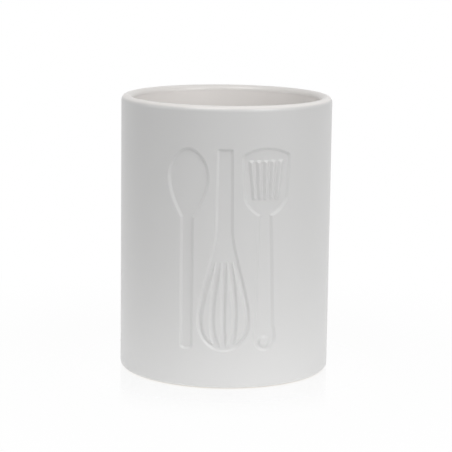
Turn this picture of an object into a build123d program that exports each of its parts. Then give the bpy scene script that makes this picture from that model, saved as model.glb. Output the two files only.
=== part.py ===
from build123d import *
import os

# A glazed ceramic utensil crock with a spoon, a whisk and a slotted turner sunk into its front.
# Millimetres, +Z up, origin at the middle of the base, front towards -Y.

os.makedirs("parts", exist_ok=True)

# Pot
crock_diameter = 130.0
crock_height = 170.0
wall_thickness = 7.0
floor_thickness = 7.8
floor_corner_radius = 6.0
base_edge_radius = 2.8

# Foot ring under the base
foot_ring_width = 6.0
foot_recess_depth = 2.2
foot_recess_bevel = 2.0

# Clear glaze over the floor, the bore and the lip
glaze_thickness = 0.4

# Figures on the front: how deep they are sunk, and the plain bands above and below them.
# Each figure spans its own share of the height between the bands.
figure_depth = 1.1
band_above_figures = 25.2
band_below_figures = 23.4

# Spoon
spoon_span_share = (0.007, 0.9975)
spoon_place = -22.65
spoon_handle_width = 6.5
spoon_bowl_width = 23.15
spoon_bowl_lean = 0.6
spoon_end_radius_share = 0.35
spoon_neck_share = 0.66
spoon_widest_share = 0.86
neck_bend_shares = ((0.49, 0.30), (1.00, 0.63))
crown_bend_shares = ((0.00, 0.51), (0.49, 1.00))

# Whisk
whisk_span_share = (0.0, 0.996)
whisk_place = -0.35
whisk_handle_width = 8.4
whisk_collar_width = 9.5
whisk_cage_width = 30.8
wire_width = 2.4
whisk_end_radius_share = 0.09
whisk_collar_share = 0.602
whisk_widest_share = 0.149
cage_upper_bend_shares = ((0.08, 0.27), (1.00, 0.71))
cage_lower_bend_shares = ((0.00, 0.615), (0.52, 1.00))

# Gaps between the whisk's wires: tips as shares of half the cage's width and of the whisk's height
outer_gap_top_share = (0.333, 0.441)
outer_gap_foot_share = (0.422, 0.038)
outer_gap_upper_bend_shares = ((0.145, 0.155), (1.00, 0.64))
outer_gap_lower_bend_shares = ((0.00, 0.49), (0.36, 0.885))
outer_gap_inner_bend_shares = ((-1.53, 0.20), (-1.70, 0.475))
inner_gap_tip_share = 0.122
inner_gap_top_share = 0.443
inner_gap_foot_share = 0.022
inner_gap_outer_bend_shares = ((0.06, 0.226), (0.52, 0.746))
inner_gap_inner_bend_shares = ((-0.04, 0.26), (-0.105, 0.74))

# Slotted turner
turner_span_share = (0.001, 1.0)
turner_place = 24.0
turner_head_width = 27.9
turner_jaw_width = 25.2
turner_neck_width = 6.5
turner_grip_width = 10.8
turner_end_width = 13.0
turner_head_radius_share = 0.055
turner_temple_share = 0.965
turner_jaw_share = 0.757
turner_neck_share = 0.672
turner_grip_share = 0.13
turner_end_share = 0.066
turner_crown_share = 0.56
turner_jaw_bend_shares = ((0.05, 0.265), (0.435, 0.765))
turner_grip_bend_shares = ((0.20, 0.45), (1.00, 0.50))
turner_end_bend_shares = ((0.00, 0.60), (0.50, 1.00))

# Slots in the turner's head, spaced in shares of its width, and the hole in its grip
slot_count = 5
slot_top_spacing_share = 0.158
slot_foot_spacing_share = 0.1325
slot_width_share = 0.54
slot_corner_share = 0.3
slot_top_share = 0.939
slot_foot_share = 0.754
hanging_hole_diameter = 5.8
hanging_hole_share = 0.043

# How far a cut runs past what it cuts
overrun = 5.0

crock_radius = crock_diameter / 2
bore_radius = crock_radius - wall_thickness
lip_radius = wall_thickness / 2
shoulder_height = crock_height - lip_radius
floor_top = foot_recess_depth + floor_thickness
figures_bottom = band_below_figures
figures_height = crock_height - band_below_figures - band_above_figures


def heights_of(span_share):
    """A function from a share of a figure's own span to the height above the table."""
    foot, crown = (figures_bottom + share * figures_height for share in span_share)
    return lambda share: foot + share * (crown - foot)


spoon_height = heights_of(spoon_span_share)
whisk_height = heights_of(whisk_span_share)
turner_height = heights_of(turner_span_share)


def bend(start, end, shares):
    """A curve from start to end, with its two handles as shares of the way across and up."""
    across = end[0] - start[0]
    up = end[1] - start[1]
    handles = [(start[0] + share[0] * across, start[1] + share[1] * up) for share in shares]
    return Bezier(start, *handles, end)


def both_sides(left_side, place):
    """The face between a figure's left side and its mirror image across the figure's middle line."""
    middle = Plane(origin=(place, 0, 0), x_dir=(0, 1, 0), z_dir=(1, 0, 0))
    return make_face(left_side + [mirror(line, about=middle) for line in left_side])


def rounded_ends(face, height, radius):
    """The face with its two corners nearest to a height rounded."""
    corners = face.vertices().sort_by(lambda corner: abs(corner.Y - height))[:2]
    return fillet(corners, radius)


def glazed_line(depth):
    """Half-section of the floor, the bore and the lip, at a depth under the glaze's surface."""
    corner = (bore_radius - floor_corner_radius, floor_top + floor_corner_radius)
    lip = (crock_radius - lip_radius, shoulder_height)
    floor_line = Line((0, floor_top - depth), (corner[0], floor_top - depth))
    corner_arc = CenterArc(corner, floor_corner_radius + depth, -90, 90)
    bore_line = Line((bore_radius + depth, corner[1]), (bore_radius + depth, lip[1]))
    lip_arc = CenterArc(lip, lip_radius - depth, 180, -180)
    return [floor_line, corner_arc, bore_line, lip_arc]


def spun(lines):
    """The solid that a closed half-section sweeps round the pot's axis."""
    return revolve(Plane.XZ * make_face(lines), axis=Axis.Z)


def pot():
    """The fired pot without its figures, set back by the glaze's thickness where glaze covers it."""
    glaze_edge = (crock_radius - glaze_thickness, shoulder_height)
    shoulder = (crock_radius, shoulder_height)
    base_edge = (crock_radius - base_edge_radius, base_edge_radius)
    ring_inside = crock_radius - base_edge_radius - foot_ring_width
    outside = Polyline(glaze_edge, shoulder, (crock_radius, base_edge_radius))
    base_arc = CenterArc(base_edge, base_edge_radius, 0, -90)
    underside = Polyline(
        (base_edge[0], 0),
        (ring_inside, 0),
        (ring_inside - foot_recess_bevel, foot_recess_depth),
        (0, foot_recess_depth),
        (0, floor_top - glaze_thickness),
    )
    lines = glazed_line(glaze_thickness) + [outside, base_arc, underside]
    return spun([edge for line in lines for edge in line.edges()])


def glaze():
    """The glaze as one thin skin, from the middle of the floor to the outside of the lip."""
    surface = glazed_line(0)
    backing = glazed_line(glaze_thickness)
    middle = Line((0, floor_top), (0, floor_top - glaze_thickness))
    rim_edge = Line((crock_radius, shoulder_height), (crock_radius - glaze_thickness, shoulder_height))
    return spun(surface + backing + [middle, rim_edge])


def spoon_face():
    """Outline of the spoon: a straight handle that widens into an egg-shaped bowl."""
    bowl_place = spoon_place + spoon_bowl_lean
    crown = (bowl_place, spoon_height(1))
    sides = []
    feet = []
    for side in (-1, 1):
        edge = spoon_place + side * spoon_handle_width / 2
        foot = (edge, spoon_height(0))
        neck = (edge, spoon_height(spoon_neck_share))
        widest = (bowl_place + side * spoon_bowl_width / 2, spoon_height(spoon_widest_share))
        sides.append(Line(foot, neck))
        sides.append(bend(neck, widest, neck_bend_shares))
        sides.append(bend(widest, crown, crown_bend_shares))
        feet.append(foot)
    spoon = make_face(sides + [Line(*feet)])
    return rounded_ends(spoon, spoon_height(0), spoon_end_radius_share * spoon_handle_width)


def outer_gap(side):
    """The gap between a whisk's outermost wire and the next one in, side being -1 or 1."""
    half_cage = whisk_cage_width / 2
    top = (whisk_place + side * outer_gap_top_share[0] * half_cage, whisk_height(outer_gap_top_share[1]))
    foot = (whisk_place + side * outer_gap_foot_share[0] * half_cage, whisk_height(outer_gap_foot_share[1]))
    widest = (whisk_place + side * (half_cage - wire_width), whisk_height(whisk_widest_share))
    return make_face(
        [
            bend(top, widest, outer_gap_upper_bend_shares),
            bend(widest, foot, outer_gap_lower_bend_shares),
            bend(foot, top, outer_gap_inner_bend_shares),
        ]
    )


def inner_gap(side):
    """The gap beside the whisk's middle wire, side being -1 or 1."""
    half_cage = whisk_cage_width / 2
    reach = side * half_cage
    top = (whisk_place + reach * inner_gap_tip_share, whisk_height(inner_gap_top_share))
    foot = (whisk_place + reach * inner_gap_tip_share, whisk_height(inner_gap_foot_share))

    def side_of_gap(shares):
        drop = foot[1] - top[1]
        handles = [(top[0] + share[0] * reach, top[1] + share[1] * drop) for share in shares]
        return Bezier(top, *handles, foot)

    return make_face([side_of_gap(inner_gap_outer_bend_shares), side_of_gap(inner_gap_inner_bend_shares)])


def whisk_face():
    """Outline of the whisk: a square-ended handle and a pear of wires with the gaps left standing."""
    crown = (whisk_place, whisk_height(1))
    crown_corner = (whisk_place - whisk_handle_width / 2, whisk_height(1))
    collar = (whisk_place - whisk_collar_width / 2, whisk_height(whisk_collar_share))
    widest = (whisk_place - whisk_cage_width / 2, whisk_height(whisk_widest_share))
    foot = (whisk_place, whisk_height(0))
    left_side = [
        Line(crown, crown_corner),
        Line(crown_corner, collar),
        bend(collar, widest, cage_upper_bend_shares),
        bend(widest, foot, cage_lower_bend_shares),
    ]
    whisk = both_sides(left_side, whisk_place)
    whisk = rounded_ends(whisk, whisk_height(1), whisk_end_radius_share * whisk_handle_width)
    for side in (-1, 1):
        whisk -= outer_gap(side)
        whisk -= inner_gap(side)
    return whisk


def slot_face(number):
    """One slot of the turner, its number counted from the middle one."""
    top_spacing = slot_top_spacing_share * turner_head_width
    foot_spacing = slot_foot_spacing_share * turner_jaw_width
    top_place = turner_place + number * top_spacing
    foot_place = turner_place + number * foot_spacing
    half_top = slot_width_share * top_spacing / 2
    half_foot = slot_width_share * foot_spacing / 2
    slot = make_face(
        Polyline(
            (top_place - half_top, turner_height(slot_top_share)),
            (top_place + half_top, turner_height(slot_top_share)),
            (foot_place + half_foot, turner_height(slot_foot_share)),
            (foot_place - half_foot, turner_height(slot_foot_share)),
            close=True,
        )
    )
    return fillet(slot.vertices(), slot_corner_share * slot_width_share * foot_spacing)


def turner_face():
    """Outline of the turner: a crowned head on a handle that ends in a wide rounded grip."""
    crown = (turner_place, turner_height(1))
    crown_handle = (turner_place - turner_crown_share * turner_head_width / 2, turner_height(1))
    temple = (turner_place - turner_head_width / 2, turner_height(turner_temple_share))
    jaw = (turner_place - turner_jaw_width / 2, turner_height(turner_jaw_share))
    neck = (turner_place - turner_neck_width / 2, turner_height(turner_neck_share))
    grip = (turner_place - turner_grip_width / 2, turner_height(turner_grip_share))
    widest = (turner_place - turner_end_width / 2, turner_height(turner_end_share))
    foot = (turner_place, turner_height(0))
    left_side = [
        Bezier(crown, crown_handle, temple),
        Line(temple, jaw),
        bend(jaw, neck, turner_jaw_bend_shares),
        Line(neck, grip),
        bend(grip, widest, turner_grip_bend_shares),
        bend(widest, foot, turner_end_bend_shares),
    ]
    turner = both_sides(left_side, turner_place)
    turner = rounded_ends(turner, temple[1], turner_head_radius_share * turner_head_width)
    first_slot = -(slot_count - 1) / 2
    for number in range(slot_count):
        turner -= slot_face(first_slot + number)
    hole = Pos(turner_place, turner_height(hanging_hole_share)) * Circle(hanging_hole_diameter / 2)
    return turner - hole


def sunk(face):
    """What is taken out of the wall where a figure is pressed straight back into it."""
    block = extrude(Plane.XZ * face, amount=crock_radius + overrun)
    left_standing = Cylinder(
        crock_radius - figure_depth,
        crock_height,
        align=(Align.CENTER, Align.CENTER, Align.MIN),
    )
    return block - left_standing


def crock_body():
    """The pot with the three figures sunk into its front."""
    body = pot()
    for face in (spoon_face(), whisk_face(), turner_face()):
        body -= sunk(face)
    return body


def save(node, solid):
    """Write one sub-part to its own file."""
    export_step(solid, f"parts/{node}.step")


save("crock_body", crock_body())
save("glaze_lining", glaze())
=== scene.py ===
import math

import bpy
import numpy as np
from mathutils import Matrix, Vector


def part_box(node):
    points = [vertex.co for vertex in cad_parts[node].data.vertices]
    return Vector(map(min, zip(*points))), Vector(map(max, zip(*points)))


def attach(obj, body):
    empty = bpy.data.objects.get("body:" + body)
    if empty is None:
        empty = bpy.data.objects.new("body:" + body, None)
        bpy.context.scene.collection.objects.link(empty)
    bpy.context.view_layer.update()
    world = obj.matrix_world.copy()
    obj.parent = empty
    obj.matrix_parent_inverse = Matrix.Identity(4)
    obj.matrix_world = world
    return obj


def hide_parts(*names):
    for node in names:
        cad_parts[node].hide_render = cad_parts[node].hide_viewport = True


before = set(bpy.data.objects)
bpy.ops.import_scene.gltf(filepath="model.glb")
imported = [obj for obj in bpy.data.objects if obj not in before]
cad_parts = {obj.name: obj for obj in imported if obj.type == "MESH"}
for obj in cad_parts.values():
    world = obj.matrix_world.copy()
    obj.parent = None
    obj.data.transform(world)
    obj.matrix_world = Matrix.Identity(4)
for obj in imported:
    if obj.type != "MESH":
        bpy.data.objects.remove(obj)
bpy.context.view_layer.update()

# A white ceramic utensil crock with a spoon, a whisk and a slotted turner sunk into its front.
# Metres, +Z up, front towards -Y. Overall sizes come from the frame, so the pieces fit its box.

body_low, body_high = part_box("crock_body")
crock_radius = min(body_high.x, body_high.y, -body_low.x, -body_low.y)
crock_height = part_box("glaze_lining")[1].z

# Pot
wall_thickness = 0.007
floor_thickness = 0.0078
floor_corner_radius = 0.006
base_edge_radius = 0.0028
foot_ring_width = 0.006
foot_recess_depth = 0.0022
foot_recess_bevel = 0.002
foot_edge_radius = 0.0005
glaze_thickness = 0.0004

# Figures: how deep they are sunk, how far their edges are softened to each side, and the plain bands
figure_depth = 0.0011
edge_softness = 0.001
band_above_figures = 0.0252
band_below_figures = 0.0234

# Spoon
spoon_span_share = (0.007, 0.9975)
spoon_place = -0.02265
spoon_handle_width = 0.0065
spoon_bowl_width = 0.02315
spoon_bowl_lean = 0.0006
spoon_end_radius_share = 0.35
spoon_neck_share = 0.66
spoon_widest_share = 0.86
neck_bend_shares = ((0.49, 0.30), (1.00, 0.63))
crown_bend_shares = ((0.00, 0.51), (0.49, 1.00))

# Whisk
whisk_span_share = (0.0, 0.996)
whisk_place = -0.00035
whisk_handle_width = 0.0084
whisk_collar_width = 0.0095
whisk_cage_width = 0.0308
wire_width = 0.0024
whisk_end_radius_share = 0.09
whisk_collar_share = 0.602
whisk_widest_share = 0.149
cage_upper_bend_shares = ((0.08, 0.27), (1.00, 0.71))
cage_lower_bend_shares = ((0.00, 0.615), (0.52, 1.00))

# Gaps between the whisk's wires: tips as shares of half the cage's width and of the whisk's height
outer_gap_top_share = (0.333, 0.441)
outer_gap_foot_share = (0.422, 0.038)
outer_gap_upper_bend_shares = ((0.145, 0.155), (1.00, 0.64))
outer_gap_lower_bend_shares = ((0.00, 0.49), (0.36, 0.885))
outer_gap_inner_bend_shares = ((-1.53, 0.20), (-1.70, 0.475))
inner_gap_tip_share = 0.122
inner_gap_top_share = 0.443
inner_gap_foot_share = 0.022
inner_gap_outer_bend_shares = ((0.06, 0.226), (0.52, 0.746))
inner_gap_inner_bend_shares = ((-0.04, 0.26), (-0.105, 0.74))

# Slotted turner
turner_span_share = (0.001, 1.0)
turner_place = 0.024
turner_head_width = 0.0279
turner_jaw_width = 0.0252
turner_neck_width = 0.0065
turner_grip_width = 0.0108
turner_end_width = 0.013
turner_head_radius_share = 0.055
turner_temple_share = 0.965
turner_jaw_share = 0.757
turner_neck_share = 0.672
turner_grip_share = 0.13
turner_end_share = 0.066
turner_crown_share = 0.56
turner_jaw_bend_shares = ((0.05, 0.265), (0.435, 0.765))
turner_grip_bend_shares = ((0.20, 0.45), (1.00, 0.50))
turner_end_bend_shares = ((0.00, 0.60), (0.50, 1.00))

# Slots in the turner's head, spaced in shares of its width, and the hole in its grip
slot_count = 5
slot_top_spacing_share = 0.158
slot_foot_spacing_share = 0.1325
slot_width_share = 0.54
slot_corner_share = 0.3
slot_top_share = 0.939
slot_foot_share = 0.754
hanging_hole_diameter = 0.0058
hanging_hole_share = 0.043

# Coat and bare clay: tones in linear red, green and blue, roughness, the sizes of their clouds, relief as
# (size of its swells, depth), and the heights at which the coat starts and is whole
coat_tone = (0.643, 0.641, 0.637)
coat_cloud_tones = ((0.633, 0.631, 0.627), (0.653, 0.651, 0.647))
coat_cloud_size = 0.03
coat_speckle_size = 0.0008
coat_roughness = (0.33, 0.38)
coat_roughness_size = 0.012
coat_relief = ((0.0012, 0.00001), (0.009, 0.00004))
coat_start = (0.0004, 0.0009)
clay_tones = ((0.58, 0.52, 0.43), (0.64, 0.58, 0.49))
clay_cloud_size = 0.002
cloud_detail = 3.0

# Glaze: the same values, and tones painted on the lip: painted shade on its top and painted light on its
# outside. They set in over shares of the lip's radius, above the shoulder and outwards from the bore, and
# the glaze ends within a share of that radius from the outside
glaze_cloud_tones = ((0.878, 0.851, 0.829), (0.898, 0.871, 0.849))
glaze_cloud_size = 0.025
glaze_roughness = (0.33, 0.355)
glaze_relief = ((0.012, 0.00005),)
lip_top_painted_shade_tone = (0.757, 0.733, 0.712)
lip_top_painted_shade_shares = (-0.3, 0.4)
lip_outside_painted_light_tone = (0.838, 0.812, 0.790)
lip_outside_painted_light_shares = (0.8, 1.4)
glaze_end_share = 0.35

# Table: its half width, its tones near and far with where they change, white near the crock and greyer
# further off as a painted pool of light, and the shadow and the mirror image that the camera sees on it, as
# shares that fade to zero over a distance from the crock's axis
table_reach = 8.0
table_white_and_painted_pool_tones = ((0.85, 0.85, 0.85), (0.3, 0.3, 0.3))
table_painted_pool_reach = (0.30, 0.80)
shadow_share = 0.035
shadow_reach = (0.10, 0.30)
mirror_share = 0.15
mirror_reach = (0.06, 0.13)
mirror_roughness = 0.15

# Light: an even grey all round, the table's painted glow near the crock and the share of it that is left
# at the foot as painted shadow, a wide painted glow of the table that sets in behind the crock and is whole
# at a multiple of its radius, and soft square lamps as (name, azimuth and elevation in degrees, distance,
# size, watts)
world_light = 0.2
table_glow = 0.57
glow_reach = (0.10, 0.30)
foot_shade_share = 0.8
foot_shade_reach = 0.085
glow_behind = 1.3
glow_behind_reach = (0.40, 1.50)
glow_behind_multiple = 4
lamps = (
    ("overhead", -30, 60, 1.6, 0.8, 9.6),
    ("right", 45, 38, 1.6, 0.6, 6.4),
    ("right_screen", 52, 24, 1.6, 1.4, 6.1),
    ("left", -80, 14, 1.6, 0.7, 2.9),
)

# Camera, as found from the rims and edges in the photograph: angles in radians, lens and sensor in mm
camera_place = (0.0005, -1.1364, 0.2925)
camera_down = 0.1783
camera_roll = 0.01327
camera_lens = 147.3
camera_sensor = 36.0
camera_near = 0.05

# Mesh density: points on a curve, columns round the pot, rows up its wall, how often a cell halves near
# the figures and how many of its sizes beyond their soft edges, steps on arcs, rows and rings, and the
# angle in degrees from which an edge is sharp
curve_steps = 20
columns = 108
wall_rows = 43
halvings = 4
halving_margin = 0.75
lip_steps = 24
corner_steps = 10
edge_steps = 4
bore_rows = 12
floor_rings = 6
recess_rings = 4
sharp_angle = 60

bore_radius = crock_radius - wall_thickness
lip_radius = wall_thickness / 2
shoulder_height = crock_height - lip_radius
floor_top = foot_recess_depth + floor_thickness
figures_height = crock_height - band_below_figures - band_above_figures


def heights_of(span_share):
    """A function from a share of a figure's own span to the height above the table."""
    foot, crown = (band_below_figures + share * figures_height for share in span_share)
    return lambda share: foot + share * (crown - foot)


spoon_height = heights_of(spoon_span_share)
whisk_height = heights_of(whisk_span_share)
turner_height = heights_of(turner_span_share)


def curve(*handles):
    """Points of a smooth curve from the first handle to just before the last, pulled by the others."""
    share = np.linspace(0, 1, curve_steps, endpoint=False)[:, None]
    spots = [np.array(handle, float)[None, :] for handle in handles]
    while len(spots) > 1:
        spots = [a + share * (b - a) for a, b in zip(spots, spots[1:])]
    return spots[0]


def bend(start, end, shares):
    """A curve from start to end, with its two handles as shares of the way across and up."""
    across = end[0] - start[0]
    up = end[1] - start[1]
    handles = [(start[0] + share[0] * across, start[1] + share[1] * up) for share in shares]
    return curve(start, *handles, end)


def corner(before, at, after, reach):
    """A rounded corner that leaves both sides at a distance from the corner itself."""
    at = np.array(at, float)
    ends = []
    for neighbour in (before, after):
        way = np.array(neighbour, float) - at
        ends.append(at + reach * way / np.linalg.norm(way))
    return curve(ends[0], at, ends[1])


def both_sides(left_side, place):
    """A closed outline from its left side and the mirror image across its middle line."""
    right_side = left_side[::-1] * (-1, 1) + (2 * place, 0)
    return np.concatenate([left_side, right_side])


def spoon_outlines():
    """The spoon: a straight handle that widens into an egg-shaped bowl."""
    bowl_place = spoon_place + spoon_bowl_lean
    crown = (bowl_place, spoon_height(1))
    foot_middle = (spoon_place, spoon_height(0))
    sides = []
    for side in (-1, 1):
        edge = spoon_place + side * spoon_handle_width / 2
        foot = (edge, spoon_height(0))
        neck = (edge, spoon_height(spoon_neck_share))
        widest = (bowl_place + side * spoon_bowl_width / 2, spoon_height(spoon_widest_share))
        lines = [
            corner(foot_middle, foot, neck, spoon_end_radius_share * spoon_handle_width),
            bend(neck, widest, neck_bend_shares),
            bend(widest, crown, crown_bend_shares),
        ]
        sides.append(np.concatenate(lines))
    return [np.concatenate([sides[0], [crown], sides[1][::-1]])]


def outer_gap(side):
    """The gap between a whisk's outermost wire and the next one in, side being -1 or 1."""
    half_cage = whisk_cage_width / 2
    top = (whisk_place + side * outer_gap_top_share[0] * half_cage, whisk_height(outer_gap_top_share[1]))
    foot = (whisk_place + side * outer_gap_foot_share[0] * half_cage, whisk_height(outer_gap_foot_share[1]))
    widest = (whisk_place + side * (half_cage - wire_width), whisk_height(whisk_widest_share))
    lines = [
        bend(top, widest, outer_gap_upper_bend_shares),
        bend(widest, foot, outer_gap_lower_bend_shares),
        bend(foot, top, outer_gap_inner_bend_shares),
    ]
    return np.concatenate(lines)


def inner_gap(side):
    """The gap beside the whisk's middle wire, side being -1 or 1."""
    reach = side * whisk_cage_width / 2
    top = (whisk_place + reach * inner_gap_tip_share, whisk_height(inner_gap_top_share))
    foot = (top[0], whisk_height(inner_gap_foot_share))
    drop = foot[1] - top[1]
    lines = []
    for shares in (inner_gap_outer_bend_shares, inner_gap_inner_bend_shares):
        handles = [(top[0] + share[0] * reach, top[1] + share[1] * drop) for share in shares]
        lines.append(curve(top, *handles, foot))
    return np.concatenate([lines[0], [foot], lines[1][:0:-1]])


def whisk_outlines():
    """The whisk: a square-ended handle, a pear of wires and the gaps between them."""
    crown = (whisk_place, whisk_height(1))
    crown_corner = (whisk_place - whisk_handle_width / 2, whisk_height(1))
    collar = (whisk_place - whisk_collar_width / 2, whisk_height(whisk_collar_share))
    widest = (whisk_place - whisk_cage_width / 2, whisk_height(whisk_widest_share))
    foot = (whisk_place, whisk_height(0))
    left_side = [
        corner(crown, crown_corner, collar, whisk_end_radius_share * whisk_handle_width),
        bend(collar, widest, cage_upper_bend_shares),
        bend(widest, foot, cage_lower_bend_shares),
    ]
    outlines = [both_sides(np.concatenate(left_side), whisk_place)]
    for side in (-1, 1):
        outlines += [outer_gap(side), inner_gap(side)]
    return outlines


def slot(number):
    """One slot of the turner, its number counted from the middle one."""
    top_spacing = slot_top_spacing_share * turner_head_width
    foot_spacing = slot_foot_spacing_share * turner_jaw_width
    corners = []
    for spacing, share, sides in (
        (top_spacing, slot_top_share, (-1, 1)),
        (foot_spacing, slot_foot_share, (1, -1)),
    ):
        for side in sides:
            place = turner_place + (number + side * slot_width_share / 2) * spacing
            corners.append((place, turner_height(share)))
    reach = slot_corner_share * slot_width_share * foot_spacing
    count = len(corners)
    rounded = [corner(corners[k - 1], corners[k], corners[(k + 1) % count], reach) for k in range(count)]
    return np.concatenate(rounded)


def turner_outlines():
    """The turner: a crowned head with slots, on a handle with a wide, rounded, pierced end."""
    crown = (turner_place, turner_height(1))
    crown_handle = (turner_place - turner_crown_share * turner_head_width / 2, turner_height(1))
    temple = (turner_place - turner_head_width / 2, turner_height(turner_temple_share))
    jaw = (turner_place - turner_jaw_width / 2, turner_height(turner_jaw_share))
    neck = (turner_place - turner_neck_width / 2, turner_height(turner_neck_share))
    grip = (turner_place - turner_grip_width / 2, turner_height(turner_grip_share))
    widest = (turner_place - turner_end_width / 2, turner_height(turner_end_share))
    foot = (turner_place, turner_height(0))
    reach = turner_head_radius_share * turner_head_width
    top = curve(crown, crown_handle, temple)
    left_side = [
        top[np.linalg.norm(top - temple, axis=1) > reach],
        corner(crown_handle, temple, jaw, reach),
        bend(jaw, neck, turner_jaw_bend_shares),
        [neck],
        bend(grip, widest, turner_grip_bend_shares),
        bend(widest, foot, turner_end_bend_shares),
    ]
    outlines = [both_sides(np.concatenate(left_side), turner_place)]
    first_slot = -(slot_count - 1) / 2
    outlines += [slot(first_slot + number) for number in range(slot_count)]
    turns = np.linspace(0, math.tau, 2 * curve_steps, endpoint=False)
    circle = np.stack([np.cos(turns), np.sin(turns)], axis=1) * hanging_hole_diameter / 2
    return outlines + [circle + (turner_place, turner_height(hanging_hole_share))]


def signed_distance(spots, outlines):
    """Distance from each spot to the nearest line of a figure, negative in its sunk part."""
    start = np.concatenate(outlines)
    end = np.concatenate([np.roll(outline, -1, axis=0) for outline in outlines])
    along = end - start
    length_squared = (along**2).sum(axis=1)
    length_squared[length_squared == 0] = 1
    distance = np.empty(len(spots))
    batch = 4000
    for first in range(0, len(spots), batch):
        spot = spots[first : first + batch, None, :]
        offset = spot - start
        share = np.clip((offset * along).sum(axis=2) / length_squared, 0, 1)
        gap = offset - share[:, :, None] * along
        nearest = np.sqrt((gap**2).sum(axis=2).min(axis=1))
        level = spot[:, :, 1]
        spans = (start[:, 1] > level) != (end[:, 1] > level)
        rise = np.where(along[:, 1] == 0, 1, along[:, 1])
        crossing = start[:, 0] + (level - start[:, 1]) * along[:, 0] / rise
        inside = (spans & (spot[:, :, 0] < crossing)).sum(axis=1) % 2 == 1
        distance[first : first + batch] = np.where(inside, -nearest, nearest)
    return distance


def figure_distance(around, height, figures, reach):
    """Signed distance to the nearest figure at places on the wall, given as an angle and a height.

    Figures are pressed straight back into the pot, so they are measured as seen from the front. Places
    further than reach from every figure's box get a distance of reach.
    """
    front = np.cos(around) > 0
    spots = np.stack([crock_radius * np.sin(around), height], axis=1)
    distance = np.full(len(spots), reach)
    for outlines in figures:
        low = outlines[0].min(axis=0) - reach
        high = outlines[0].max(axis=0) + reach
        near = front & (spots > low).all(axis=1) & (spots < high).all(axis=1)
        distance[near] = np.minimum(distance[near], signed_distance(spots[near], outlines))
    return distance


def sunk_share(distance):
    """How deep the wall is sunk, from 0 on the plain wall to 1 inside a figure, with soft edges."""
    share = np.clip((edge_softness - distance) / (2 * edge_softness), 0, 1)
    return share * share * (3 - 2 * share)


def split_wall(figures):
    """Cells of the outer wall, as (columns, rows, size) in the finest steps, small near the figures."""
    size = 2**halvings
    step = math.tau * crock_radius / (columns * size)
    rise = (shoulder_height - base_edge_radius) / (wall_rows * size)
    column, row = np.meshgrid(np.arange(columns) * size, np.arange(wall_rows) * size)
    column = column.ravel()
    row = row.ravel()
    cells = []
    while size > 1:
        angle = (column + size / 2) * step / crock_radius
        height = base_edge_radius + (row + size / 2) * rise
        close = edge_softness + halving_margin * size * step
        split = np.abs(figure_distance(angle, height, figures, 2 * close)) < close
        cells.append((column[~split], row[~split], size))
        size //= 2
        corners = [(0, 0), (size, 0), (size, size), (0, size)]
        column, row = (
            np.concatenate([column[split] + right for right, up in corners]),
            np.concatenate([row[split] + up for right, up in corners]),
        )
    return cells + [(column, row, 1)]


def cell_border(size):
    """Steps round a cell's edge, anticlockwise from its lower left corner."""
    side = range(size)
    border = [(k, 0) for k in side] + [(size, k) for k in side]
    return border + [(size - k, size) for k in side] + [(0, size - k) for k in side]


def wall_mesh(figures):
    """The outer wall with its figures: points, faces, and the rings of points at its foot and top."""
    cells = split_wall(figures)
    around = columns * 2**halvings
    upward = wall_rows * 2**halvings

    def key(column, row):
        return (column % around) * (upward + 1) + row

    taken = [
        key(column + right * size, row + up * size)
        for column, row, size in cells
        for right in (0, 1)
        for up in (0, 1)
    ]
    taken = np.unique(np.concatenate(taken))

    # A cell is one face, or a fan from its middle where smaller neighbours have corners on its border
    faces = []
    middles = []
    for column, row, size in cells:
        border = cell_border(size)
        keys = np.stack([key(column + right, row + up) for right, up in border], axis=1)
        used = np.isin(keys, taken)
        plain = used.sum(axis=1) == 4
        faces += [tuple(corners) for corners in keys[plain][:, ::size].tolist()]
        crowded = np.nonzero(~plain)[0]
        middle = key(column + size // 2, row + size // 2)
        for cell in crowded:
            ring = keys[cell][used[cell]].tolist()
            centre = int(middle[cell])
            middles.append(centre)
            faces += [(centre, a, b) for a, b in zip(ring, ring[1:] + ring[:1])]
    taken = np.unique(np.concatenate([taken, np.array(middles, dtype=taken.dtype)]))

    # Points are numbered in the order of their keys, and lie on the wall less the depth of the figures
    place = {spot: index for index, spot in enumerate(taken.tolist())}
    faces = [tuple(place[spot] for spot in face) for face in faces]
    angle = taken // (upward + 1) * math.tau / around
    rise = (shoulder_height - base_edge_radius) / upward
    height = base_edge_radius + taken % (upward + 1) * rise
    distance = figure_distance(angle, height, figures, 2 * edge_softness)
    radius = crock_radius - figure_depth * sunk_share(distance)
    points = np.stack([radius * np.sin(angle), -radius * np.cos(angle), height], axis=1)
    whole_columns = range(0, around, 2**halvings)
    foot_ring = [place[column * (upward + 1)] for column in whole_columns]
    top_ring = [place[column * (upward + 1) + upward] for column in whole_columns]
    return points.tolist(), faces, foot_ring, top_ring


def turn(points, faces, profile, ring_before=None, ring_after=None):
    """Add a surface turned from a profile of (radius, height) pairs, joined to rings already there."""
    rings = [ring_before] if ring_before else []
    for radius, height in profile:
        first = len(points)
        count = columns if radius > 0 else 1
        for column in range(count):
            angle = column * math.tau / columns
            points.append((radius * math.sin(angle), -radius * math.cos(angle), height))
        rings.append(range(first, first + count))
    if ring_after:
        rings.append(ring_after)
    for lower, upper in zip(rings, rings[1:]):
        for column in range(columns):
            beside = (column + 1) % columns
            face = (
                lower[column % len(lower)],
                lower[beside % len(lower)],
                upper[beside % len(upper)],
                upper[column % len(upper)],
            )
            faces.append(tuple(dict.fromkeys(face)))


def arc(centre, radius, start, end, steps):
    """Profile points on an arc, angles in degrees from straight outwards."""
    turns = np.radians(np.linspace(start, end, steps + 1))
    return [(centre[0] + radius * math.cos(t), centre[1] + radius * math.sin(t)) for t in turns]


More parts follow.
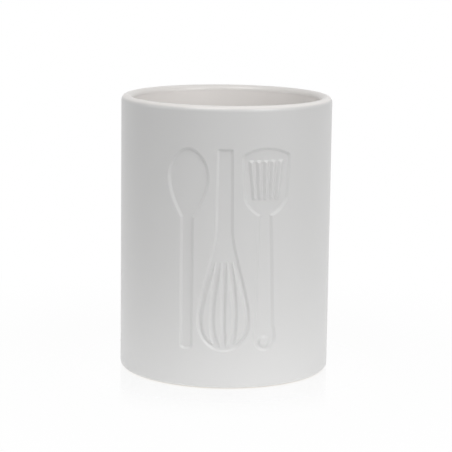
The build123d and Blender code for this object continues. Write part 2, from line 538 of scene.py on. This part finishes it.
def glazed_profile(depth):
    """Profile from the lip's outer shoulder down to the middle of the floor, at a depth in the glaze."""
    lip = (crock_radius - lip_radius, shoulder_height)
    hollow = (bore_radius - floor_corner_radius, floor_top + floor_corner_radius)
    profile = arc(lip, lip_radius - depth, 0, 180, lip_steps)
    for row in range(1, bore_rows):
        share = row / bore_rows
        profile.append((bore_radius + depth, lip[1] + share * (hollow[1] - lip[1])))
    profile += arc(hollow, floor_corner_radius + depth, 0, -90, corner_steps)
    for ring in range(1, floor_rings):
        profile.append((hollow[0] * (1 - ring / floor_rings), floor_top - depth))
    return profile + [(0, floor_top - depth)]


def underside_profile():
    """Profile from the middle of the base, over the recess and the foot ring, to the wall's foot."""
    ring_outside = crock_radius - base_edge_radius
    ring_inside = ring_outside - foot_ring_width
    recess_edge = ring_inside - foot_recess_bevel
    recess = [(recess_edge * ring / recess_rings, foot_recess_depth) for ring in range(recess_rings)]
    line = [(0, foot_recess_depth), (recess_edge, foot_recess_depth), (ring_inside, 0), (ring_outside, 0)]
    top = corner(*line[:3], foot_edge_radius)
    foot = corner(*line[1:], foot_edge_radius)
    every = curve_steps // edge_steps
    rounding = arc((ring_outside, base_edge_radius), base_edge_radius, -90, 0, corner_steps)
    return recess + top[::every].tolist() + foot[::every].tolist() + rounding[:-1]


def new_piece(name, points, faces, material):
    """A mesh object with one material, smooth but for its sharp corners."""
    mesh = bpy.data.meshes.new(name)
    mesh.from_pydata(points, [], faces)
    mesh.shade_smooth()
    mesh.set_sharp_from_angle(angle=math.radians(sharp_angle))
    mesh.materials.append(material)
    mesh.update()
    piece = bpy.data.objects.new(name, mesh)
    bpy.context.scene.collection.objects.link(piece)
    return piece


def make_pot(material):
    """The fired pot: its figured wall, its foot, and the surface that the glaze lies on."""
    figures = [spoon_outlines(), whisk_outlines(), turner_outlines()]
    points, faces, foot_ring, top_ring = wall_mesh(figures)
    turn(points, faces, underside_profile(), ring_after=foot_ring)
    turn(points, faces, glazed_profile(glaze_thickness), ring_before=top_ring)
    return new_piece("pot", points, faces, material)


def make_glaze_skin(material):
    """The glaze over the floor, the bore and the lip, as a closed skin."""
    points = []
    faces = []
    turn(points, faces, glazed_profile(glaze_thickness)[::-1] + glazed_profile(0))
    return new_piece("glaze_skin", points, faces, material)


def add_node(tree, kind, **settings):
    """A shader node with its properties set by name and its inputs by their labels."""
    node = tree.nodes.new(kind)
    for name, value in settings.items():
        if hasattr(node, name):
            setattr(node, name, value)
        else:
            node.inputs[name.replace("_", " ")].default_value = value
    return node


def new_material(name):
    """An empty node material with a shader: its node tree and its Principled shader."""
    material = bpy.data.materials.new(name)
    material.use_nodes = True
    return material, material.node_tree, material.node_tree.nodes["Principled BSDF"]


def spread(tree, source, low, high):
    """A value from 0 to 1 turned into one from low to high."""
    node = tree.nodes.new("ShaderNodeMapRange")
    node.inputs["To Min"].default_value = low
    node.inputs["To Max"].default_value = high
    tree.links.new(source, node.inputs["Value"])
    return node.outputs["Result"]


def cloud(tree, feature):
    """Noise in the object's own space, with features of about the given size in metres."""
    place = tree.nodes.new("ShaderNodeTexCoord")
    noise = tree.nodes.new("ShaderNodeTexNoise")
    noise.inputs["Scale"].default_value = 1 / feature
    noise.inputs["Detail"].default_value = cloud_detail
    tree.links.new(place.outputs["Object"], noise.inputs["Vector"])
    return noise.outputs["Fac"]


def two_tone(tree, share, first, second):
    """A colour between two, by a share from 0 to 1."""
    mix = tree.nodes.new("ShaderNodeMix")
    mix.data_type = "RGBA"
    tree.links.new(share, mix.inputs["Factor"])
    for label, colour in (("A", first), ("B", second)):
        socket = next(s for s in mix.inputs if s.name == label and s.type == "RGBA")
        if isinstance(colour, tuple):
            socket.default_value = (*colour, 1)
        else:
            tree.links.new(colour, socket)
    return next(s for s in mix.outputs if s.type == "RGBA")


def add_relief(tree, shader, layers):
    """Surface relief from (size of its swells, depth) pairs, one on top of the other."""
    normal = None
    for feature, depth in layers:
        bump = tree.nodes.new("ShaderNodeBump")
        bump.inputs["Strength"].default_value = 1.0
        bump.inputs["Distance"].default_value = depth
        tree.links.new(cloud(tree, feature), bump.inputs["Height"])
        if normal:
            tree.links.new(normal, bump.inputs["Normal"])
        normal = bump.outputs["Normal"]
    tree.links.new(normal, shader.inputs["Normal"])


def ramp(tree, source, low, high):
    """A value that goes smoothly from 0 where the source is low to 1 where it is high."""
    node = tree.nodes.new("ShaderNodeMapRange")
    node.interpolation_type = "SMOOTHSTEP"
    node.inputs["From Min"].default_value = low
    node.inputs["From Max"].default_value = high
    tree.links.new(source, node.inputs["Value"])
    return node.outputs["Result"]


def combined(tree, operation, *sources):
    """Values joined by a math operation."""
    node = tree.nodes.new("ShaderNodeMath")
    node.operation = operation
    for link, source in zip(node.inputs, sources):
        tree.links.new(source, link)
    return node.outputs["Value"]


def distance_share(tree, low, high):
    """A value that goes from 0 at one distance from the pot's axis to 1 at another."""
    place = tree.nodes.new("ShaderNodeTexCoord")
    flat = tree.nodes.new("ShaderNodeVectorMath")
    flat.operation = "MULTIPLY"
    flat.inputs[1].default_value = (1, 1, 0)
    length = tree.nodes.new("ShaderNodeVectorMath")
    length.operation = "LENGTH"
    tree.links.new(place.outputs["Object"], flat.inputs[0])
    tree.links.new(flat.outputs["Vector"], length.inputs[0])
    return ramp(tree, length.outputs["Value"], low, high)


def coordinate(tree, axis):
    """A place's X, Y or Z in the frame."""
    place = tree.nodes.new("ShaderNodeTexCoord")
    split = tree.nodes.new("ShaderNodeSeparateXYZ")
    tree.links.new(place.outputs["Object"], split.inputs["Vector"])
    return split.outputs[axis]


def matt_coat():
    """White coat with a faint sheen, clouds and pores, and bare clay where the foot ring stands."""
    material, tree, shader = new_material("matt_coat")
    clouded = two_tone(tree, cloud(tree, coat_cloud_size), *coat_cloud_tones)
    speckled = two_tone(tree, cloud(tree, coat_speckle_size), clouded, coat_tone)
    clay = two_tone(tree, cloud(tree, clay_cloud_size), *clay_tones)
    covered = ramp(tree, coordinate(tree, "Z"), *coat_start)
    tree.links.new(two_tone(tree, covered, clay, speckled), shader.inputs["Base Color"])
    roughness = spread(tree, cloud(tree, coat_roughness_size), *coat_roughness)
    tree.links.new(roughness, shader.inputs["Roughness"])
    add_relief(tree, shader, coat_relief)
    return material


def gloss_glaze():
    """Warm white glaze with a soft gloss, ending on the lip in the coat's own tone.

    Painted shade darkens the lip's top and painted light brightens its outside.
    """
    material, tree, shader = new_material("gloss_glaze")
    clouded = two_tone(tree, cloud(tree, glaze_cloud_size), *glaze_cloud_tones)
    # Painted shade darkens the lip's top, and painted light brightens the lip's outside
    painted_shade_heights = [shoulder_height + share * lip_radius for share in lip_top_painted_shade_shares]
    glaze = two_tone(tree, ramp(tree, coordinate(tree, "Z"), *painted_shade_heights), clouded, lip_top_painted_shade_tone)
    painted_light_radii = [bore_radius + share * lip_radius for share in lip_outside_painted_light_shares]
    glaze = two_tone(tree, distance_share(tree, *painted_light_radii), glaze, lip_outside_painted_light_tone)
    ending = distance_share(tree, crock_radius - glaze_end_share * lip_radius, crock_radius)
    tree.links.new(two_tone(tree, ending, glaze, coat_tone), shader.inputs["Base Color"])
    tree.links.new(spread(tree, ending, *glaze_roughness), shader.inputs["Roughness"])
    add_relief(tree, shader, glaze_relief)
    return material


def background_share(tree):
    """1 for what the camera sees directly, by reflection or through glass, and 0 for other light."""
    path = tree.nodes.new("ShaderNodeLightPath")
    total = path.outputs["Is Camera Ray"]
    for name in ("Is Glossy Ray", "Is Transmission Ray"):
        total = combined(tree, "MAXIMUM", total, path.outputs[name])
    return total


def mixed(tree, share, first, second):
    """A mix of two shaders by a share."""
    mix = tree.nodes.new("ShaderNodeMixShader")
    tree.links.new(share, mix.inputs["Fac"])
    tree.links.new(first, mix.inputs[1])
    tree.links.new(second, mix.inputs[2])
    return mix.outputs["Shader"]


def table_white():
    """White table: seen as plain white with a faint shadow and a faint mirror image near the crock.

    All other light meets a surface that is white near the crock and greyer further off, a painted pool of
    light, and that glows itself as painted light, less at the crock's foot as painted shadow.
    """
    material = bpy.data.materials.new("table_white")
    material.use_nodes = True
    tree = material.node_tree
    tree.nodes.clear()
    output = tree.nodes.new("ShaderNodeOutputMaterial")
    white = tree.nodes.new("ShaderNodeEmission")
    paper = add_node(tree, "ShaderNodeBsdfDiffuse", Color=(*table_white_and_painted_pool_tones[0], 1))
    gloss = add_node(tree, "ShaderNodeBsdfGlossy", Color=(1, 1, 1, 1), Roughness=mirror_roughness)
    lit = tree.nodes.new("ShaderNodeBsdfDiffuse")
    # Painted pool of light: the table is white near the crock and greyer further off
    far = distance_share(tree, *table_painted_pool_reach)
    tree.links.new(two_tone(tree, far, *table_white_and_painted_pool_tones), lit.inputs["Color"])
    # Painted light: the table glows though it is no lamp, dimmed at the crock's foot as painted shadow
    glow = tree.nodes.new("ShaderNodeEmission")
    near_glow = spread(tree, distance_share(tree, *glow_reach), table_glow, 0)
    unshaded = spread(tree, distance_share(tree, crock_radius, foot_shade_reach), foot_shade_share, 1)
    near_glow = combined(tree, "MULTIPLY", near_glow, unshaded)
    wide_glow = spread(tree, distance_share(tree, *glow_behind_reach), glow_behind, 0)
    behind = ramp(tree, coordinate(tree, "Y"), crock_radius, glow_behind_multiple * crock_radius)
    strength = combined(tree, "MULTIPLY_ADD", behind, wide_glow, near_glow)
    tree.links.new(strength, glow.inputs["Strength"])
    both = tree.nodes.new("ShaderNodeAddShader")
    tree.links.new(lit.outputs["BSDF"], both.inputs[0])
    tree.links.new(glow.outputs["Emission"], both.inputs[1])
    shadow = spread(tree, distance_share(tree, *shadow_reach), shadow_share, 0)
    look = mixed(tree, shadow, white.outputs["Emission"], paper.outputs["BSDF"])
    mirror = spread(tree, distance_share(tree, *mirror_reach), mirror_share, 0)
    look = mixed(tree, mirror, look, gloss.outputs["BSDF"])
    surface = mixed(tree, background_share(tree), both.outputs["Shader"], look)
    tree.links.new(surface, output.inputs["Surface"])
    return material


def make_floor():
    """A wide flat table under the crock."""
    signs = ((-1, -1), (1, -1), (1, 1), (-1, 1))
    points = [(right * table_reach, back * table_reach, 0) for right, back in signs]
    return new_piece("floor", points, [(0, 1, 2, 3)], table_white())


def set_world(strength):
    """White to the camera, and an even grey light on everything."""
    world = bpy.data.worlds.new("studio")
    bpy.context.scene.world = world
    world.use_nodes = True
    tree = world.node_tree
    tree.nodes.clear()
    output = tree.nodes.new("ShaderNodeOutputWorld")
    seen = add_node(tree, "ShaderNodeBackground", Color=(1, 1, 1, 1), Strength=1.0)
    lit = add_node(tree, "ShaderNodeBackground", Color=(1, 1, 1, 1), Strength=strength)
    surface = mixed(tree, background_share(tree), lit.outputs["Background"], seen.outputs["Background"])
    tree.links.new(surface, output.inputs["Surface"])


def add_lamp(name, azimuth, elevation, distance, size, power):
    """A soft square lamp aimed at the crock's middle, its azimuth counted rightwards from the front."""
    lamp = bpy.data.lights.new(name, "AREA")
    lamp.shape = "SQUARE"
    lamp.size = size
    lamp.energy = power
    right = math.radians(azimuth)
    up = math.radians(elevation)
    away = Vector((math.sin(right) * math.cos(up), -math.cos(right) * math.cos(up), math.sin(up)))
    stand = bpy.data.objects.new(name, lamp)
    stand.location = Vector((0, 0, crock_height / 2)) + distance * away
    stand.rotation_euler = away.to_track_quat("Z", "Y").to_euler()
    bpy.context.scene.collection.objects.link(stand)


def add_camera():
    """The photograph's view: from the front, a little above, with the slight roll of the picture."""
    camera = bpy.data.cameras.new("camera")
    camera.sensor_fit = "HORIZONTAL"
    camera.sensor_width = camera_sensor
    camera.lens = camera_lens
    camera.clip_start = camera_near
    stand = bpy.data.objects.new("camera", camera)
    tilt = Matrix.Rotation(math.pi / 2 - camera_down, 4, "X")
    roll = Matrix.Rotation(camera_roll, 4, "Z")
    stand.matrix_world = Matrix.Translation(camera_place) @ tilt @ roll
    bpy.context.scene.collection.objects.link(stand)
    bpy.context.scene.camera = stand


pot = make_pot(matt_coat())
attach(pot, "root")
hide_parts("crock_body")

glaze_skin = make_glaze_skin(gloss_glaze())
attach(glaze_skin, "root")
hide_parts("glaze_lining")

make_floor()
add_camera()
set_world(world_light)
for name, azimuth, elevation, distance, size, power in lamps:
    add_lamp(name, azimuth, elevation, distance, size, power)

bpy.context.scene.view_settings.view_transform = "Standard"
